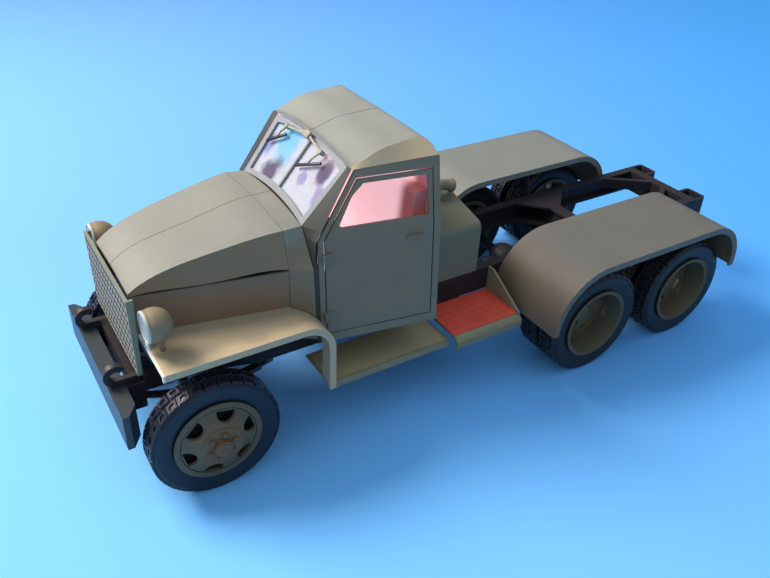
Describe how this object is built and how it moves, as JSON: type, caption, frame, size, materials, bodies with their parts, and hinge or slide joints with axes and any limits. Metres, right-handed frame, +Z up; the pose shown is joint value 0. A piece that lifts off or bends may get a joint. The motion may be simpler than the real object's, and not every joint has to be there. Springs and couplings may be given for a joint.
{
  "type": "card model of a six-wheeled military truck tractor",
  "caption": "Small card model of a bonneted off-road truck tractor with a bare ladder frame, steered front axle, twin-tyred rear bogie, long rear mudguards and opening cab doors.",
  "frame": {"origin": "on the ground under the centre of the model's bounding box", "axes": "+X forward, +Y to the truck's left, +Z up"},
  "size_m": [0.2362, 0.0978, 0.0889],
  "materials": {
    "khaki_card": "printed matt khaki card with cut edges",
    "frame_card": "printed matt brown-black card",
    "black_card": "printed matt black card",
    "guard_card": "cut card lattice, dark green-grey",
    "red_card": "printed red-brown planks",
    "pink_card": "printed matt coral pink card",
    "tyre_card": "layered blue-black card with cut lugs",
    "rim_card": "printed matt khaki-brown card",
    "clear_film": "clear plastic film"
  },
  "bodies": {
    "truck": {"frame_rails": "frame_card", "cross_members": "frame_card", "rear_cross_member": "frame_card", "pintle_hook": "frame_card", "front_bumper": "frame_card", "tow_hooks": "frame_card", "front_springs": "black_card", "rear_springs": "black_card", "front_axle": "black_card", "rear_axles": "black_card", "trunnion": "black_card", "prop_shafts": "black_card", "engine": "black_card", "gearbox": "black_card", "transfer_case": "black_card", "fuel_tank": "khaki_card", "tank_filler": "khaki_card", "bonnet": "khaki_card", "bonnet_sides": "khaki_card", "cowl": "khaki_card", "cab_sides": "khaki_card", "cab_rear_wall": "khaki_card", "cab_floor": "khaki_card", "roof": "khaki_card", "pillars": "khaki_card", "windscreen_frame": "khaki_card", "windscreen_film": "clear_film", "wipers": "black_card", "brush_guard": "guard_card", "radiator": "black_card", "headlamps": "khaki_card", "headlamp_lenses": "clear_film", "front_fenders": "khaki_card", "running_boards": "khaki_card", "step_boxes": "khaki_card", "step_planks": "red_card", "rear_fenders": "khaki_card", "fender_brackets": "black_card", "seat": "pink_card", "dashboard": "khaki_card", "steering_wheel": "black_card"},
    "wheel_front_left": {"tyre_front_left": "tyre_card", "rim_front_left": "rim_card"},
    "wheel_front_right": {"tyre_front_right": "tyre_card", "rim_front_right": "rim_card"},
    "wheels_rear1_left": {"tyres_rear1_left": "tyre_card", "rims_rear1_left": "rim_card"},
    "wheels_rear1_right": {"tyres_rear1_right": "tyre_card", "rims_rear1_right": "rim_card"},
    "wheels_rear2_left": {"tyres_rear2_left": "tyre_card", "rims_rear2_left": "rim_card"},
    "wheels_rear2_right": {"tyres_rear2_right": "tyre_card", "rims_rear2_right": "rim_card"},
    "knuckle_left": {"knuckle_left": "black_card"},
    "knuckle_right": {"knuckle_right": "black_card"},
    "tie_rod": {"tie_rod": "black_card"},
    "door_left": {"door_left": "khaki_card"},
    "door_right": {"door_right": "khaki_card"}
  },
  "joints": [
    {"name": "steer_left", "type": "hinge", "parent": "truck", "child": "knuckle_left", "pos_m": [0.0953, 0.0266, 0.0186], "axis": [0, 0, 1], "range_deg": [-6, 6]},
    {"name": "steer_right", "type": "hinge", "parent": "truck", "child": "knuckle_right", "pos_m": [0.0953, -0.0266, 0.0186], "axis": [0, 0, 1], "range_deg": [-6, 6]},
    {"name": "tie_rod_pin", "type": "hinge", "parent": "knuckle_left", "child": "tie_rod", "pos_m": [0.0873, 0.0266, 0.0146], "axis": [0, 0, 1], "range_deg": [-6, 6]},
    {"name": "spin_front_left", "type": "hinge", "parent": "knuckle_left", "child": "wheel_front_left", "pos_m": [0.0953, 0, 0.0186], "axis": [0, 1, 0], "continuous": true},
    {"name": "spin_front_right", "type": "hinge", "parent": "knuckle_right", "child": "wheel_front_right", "pos_m": [0.0953, 0, 0.0186], "axis": [0, 1, 0], "continuous": true},
    {"name": "spin_rear1_left", "type": "hinge", "parent": "truck", "child": "wheels_rear1_left", "pos_m": [-0.0337, 0, 0.0186], "axis": [0, 1, 0], "continuous": true},
    {"name": "spin_rear1_right", "type": "hinge", "parent": "truck", "child": "wheels_rear1_right", "pos_m": [-0.0337, 0, 0.0186], "axis": [0, 1, 0], "continuous": true},
    {"name": "spin_rear2_left", "type": "hinge", "parent": "truck", "child": "wheels_rear2_left", "pos_m": [-0.0765, 0, 0.0186], "axis": [0, 1, 0], "continuous": true},
    {"name": "spin_rear2_right", "type": "hinge", "parent": "truck", "child": "wheels_rear2_right", "pos_m": [-0.0765, 0, 0.0186], "axis": [0, 1, 0], "continuous": true},
    {"name": "door_left_hinge", "type": "hinge", "parent": "truck", "child": "door_left", "pos_m": [0.05923, 0.02887, 0.03756], "axis": [0, 0.0761, -0.9971], "range_deg": [0, 65]},
    {"name": "door_right_hinge", "type": "hinge", "parent": "truck", "child": "door_right", "pos_m": [0.05923, -0.02887, 0.03756], "axis": [0, 0.0761, 0.9971], "range_deg": [0, 65]}
  ],
  "couplings": [
    {"joint": "steer_right", "follows": "steer_left", "ratio": 1},
    {"joint": "tie_rod_pin", "follows": "steer_left", "ratio": -1}
  ]
}
